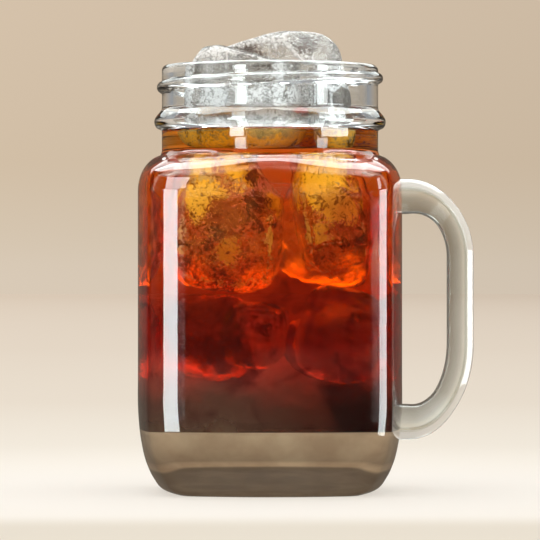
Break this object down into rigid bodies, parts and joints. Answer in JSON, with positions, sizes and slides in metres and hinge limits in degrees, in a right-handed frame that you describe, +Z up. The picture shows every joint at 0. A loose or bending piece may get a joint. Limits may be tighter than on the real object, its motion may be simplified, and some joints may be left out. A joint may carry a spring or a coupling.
{
  "type": "iced americano",
  "caption": "Iced black coffee in a square glass jar mug with a side handle and a screw-thread neck, ice standing above the rim.",
  "frame": {"origin": "on the jar's axis, on the surface that it stands on", "axes": "+Z up along the jar's axis, +X towards the handle, the picture taken from -Y"},
  "size_m": [0.1008, 0.0794, 0.1388],
  "materials": {
    "glass": "clear pressed glass, polished",
    "coffee": "clear black coffee, red and amber with the light behind it",
    "settled_coffee": "pale cloudy layer of fine grounds",
    "ice": "clear ice, melting and frosted at its edges"
  },
  "bodies": {
    "root": {"jar_mug": "glass", "coffee": "coffee", "settled_layer": "settled_coffee", "ice_main": "ice", "ice_left": "ice", "ice_front": "ice", "ice_back": "ice"}
  },
  "joints": []
}
